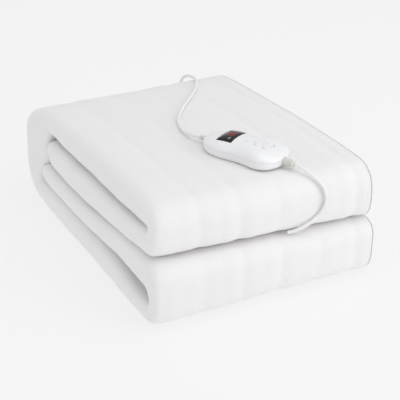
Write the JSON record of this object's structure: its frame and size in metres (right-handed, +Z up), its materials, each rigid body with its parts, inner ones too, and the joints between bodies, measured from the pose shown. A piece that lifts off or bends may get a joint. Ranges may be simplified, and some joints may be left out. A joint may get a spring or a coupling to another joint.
{
  "type": "heated mattress pad",
  "caption": "White fleece heated mattress pad folded into a thick squarish bundle, with a rounded white hand controller with a black display lying on top and a white lead",
  "frame": {"origin": "on the surface the folded pad lies on, under the middle of the folded pad", "axes": "+Z up, +X along the front folds towards the hemmed ends, +Y from the folded front to the back"},
  "size_m": [0.3524, 0.5995, 0.1984],
  "materials": {
    "cloth": "soft matt fleece",
    "shell": "gloss moulded",
    "button": "satin moulded",
    "window": "gloss tinted",
    "relief": "matt moulded",
    "lead": "satin",
    "tie": "matt",
    "plug": "satin moulded",
    "pin": "nickel plated"
  },
  "bodies": {
    "pad_set": {"pad": "cloth", "controller_base": "shell", "controller_cover": "shell", "display_window": "window", "relief_mains": "relief", "relief_pad": "relief", "mains_lead": "lead", "pad_lead": "lead", "plug_lead": "lead", "mains_coil": "lead", "coil_tie": "tie", "mains_plug": "plug", "pin_left": "pin", "pin_right": "pin"},
    "level_button": {"button_level": "button"},
    "timer_button": {"button_timer": "button"}
  },
  "joints": [
    {"name": "level_press", "type": "slide", "parent": "pad_set", "child": "level_button", "axis": [0, 0, -1], "range_m": [0, 0.001], "stiffness_N_per_m": 300, "springref_m": -0.001},
    {"name": "timer_press", "type": "slide", "parent": "pad_set", "child": "timer_button", "axis": [0, 0, -1], "range_m": [0, 0.001], "stiffness_N_per_m": 300, "springref_m": -0.001}
  ]
}
